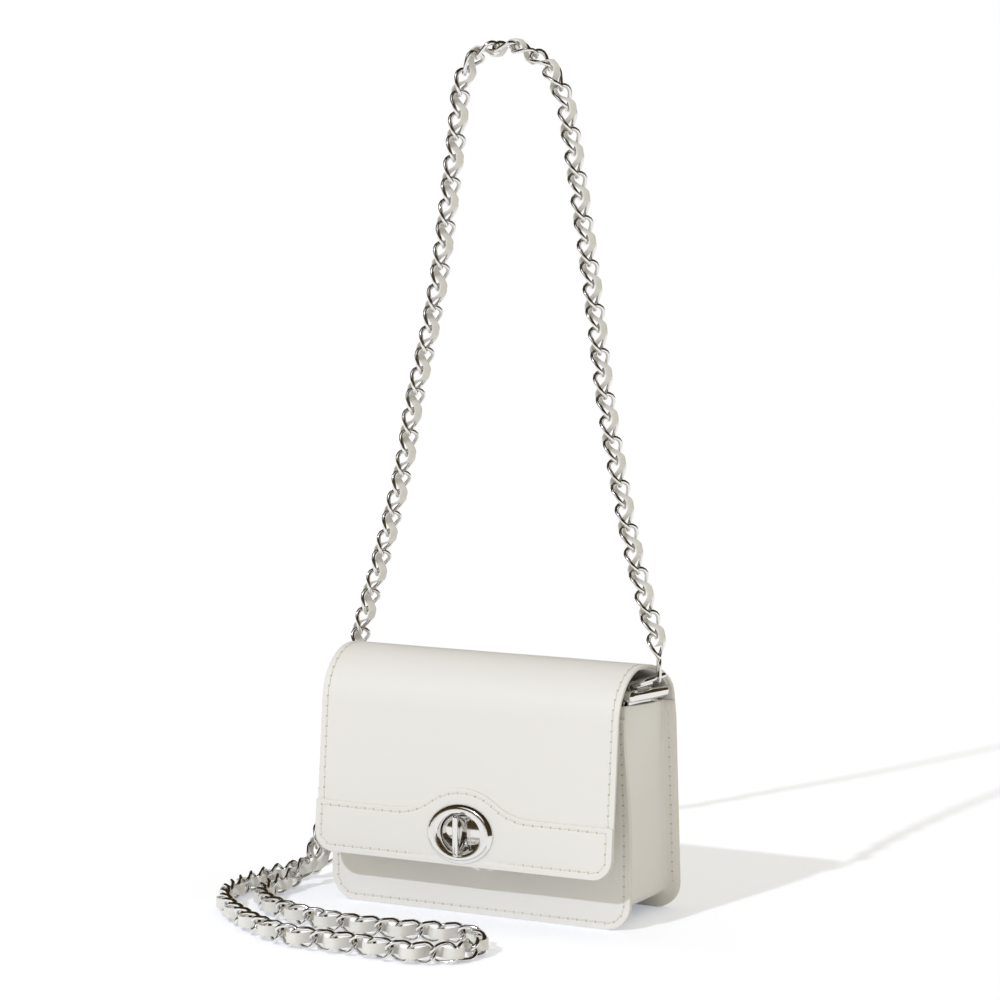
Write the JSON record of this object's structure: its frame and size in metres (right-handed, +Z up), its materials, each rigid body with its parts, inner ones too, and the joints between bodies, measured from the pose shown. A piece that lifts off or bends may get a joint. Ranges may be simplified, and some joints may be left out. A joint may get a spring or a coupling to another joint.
{
  "type": "chain shoulder bag",
  "caption": "Small structured flap bag in smooth leather with an oval turn lock, ring hardware at the gusset tops and a chain strap woven with a leather ribbon.",
  "frame": {"origin": "on the surface that the bag stands on, at the middle of the bag's box without its strap", "axes": "+X to the right of someone who faces the front, +Y to the back, +Z up"},
  "size_m": [0.2109, 0.1621, 0.4145],
  "materials": {
    "white_leather": "semi-gloss, fine grain",
    "flap_lining_leather": "matte",
    "lining_cloth": "woven, matte",
    "stiffener": "matte",
    "bright_nickel": "polished",
    "spring_steel": "satin"
  },
  "bodies": {
    "bag": {"front_panel": "white_leather", "front_board": "stiffener", "back_panel": "white_leather", "back_board": "stiffener", "gusset": "white_leather", "base_board": "stiffener", "lining": "lining_cloth", "lock_base": "bright_nickel", "lock_back_washer": "bright_nickel", "lock_base_rivets": "bright_nickel", "lock_spring": "spring_steel", "gusset_clip_left": "bright_nickel", "gusset_clip_right": "bright_nickel", "clip_screws_left": "bright_nickel", "clip_screws_right": "bright_nickel", "strap_slack_links": "bright_nickel", "strap_slack_ribbon": "white_leather", "strap_end_link_left": "bright_nickel"},
    "flap": {"flap_leather": "white_leather", "flap_lining": "flap_lining_leather", "flap_overlay": "white_leather", "lock_plate": "bright_nickel", "lock_plate_backing": "bright_nickel", "lock_plate_rivets": "bright_nickel"},
    "knob": {"lock_knob": "bright_nickel", "knob_retainer": "spring_steel"},
    "ring_left": {"d_ring_left": "bright_nickel"},
    "ring_right": {"d_ring_right": "bright_nickel"},
    "strap": {"strap_end_link_right": "bright_nickel", "strap_arch_links": "bright_nickel", "strap_arch_ribbon": "white_leather"}
  },
  "joints": [
    {"name": "flap_open", "type": "hinge", "parent": "bag", "child": "flap", "pos_m": [0, 0.03186, 0.10565], "axis": [-1, 0, 0], "range_deg": [0, 130], "deforming": ["strap_arch_links", "strap_arch_ribbon"]},
    {"name": "knob_turn", "type": "hinge", "parent": "bag", "child": "knob", "pos_m": [0, -0.0288, 0.0422], "axis": [0, -1, 0], "range_deg": [0, 90]},
    {"name": "ring_left_swing", "type": "hinge", "parent": "bag", "child": "ring_left", "pos_m": [-0.0729, 0.00816, 0.1127], "axis": [0, -1, 0], "range_deg": [-4, 35], "deforming": ["strap_end_link_left", "strap_slack_links", "strap_slack_ribbon"]},
    {"name": "ring_right_swing", "type": "hinge", "parent": "bag", "child": "ring_right", "pos_m": [0.0729, 0.00816, 0.1127], "axis": [0, 1, 0], "range_deg": [-4, 35], "deforming": ["strap_end_link_right", "strap_arch_links", "strap_arch_ribbon"]},
    {"name": "strap_swing", "type": "hinge", "parent": "bag", "child": "strap", "pos_m": [0, 0.0085, 0.11705], "axis": [1, 0, 0], "range_deg": [-60, 60], "deforming": ["strap_end_link_right", "strap_arch_links", "strap_arch_ribbon", "strap_slack_links", "strap_slack_ribbon"]}
  ]
}
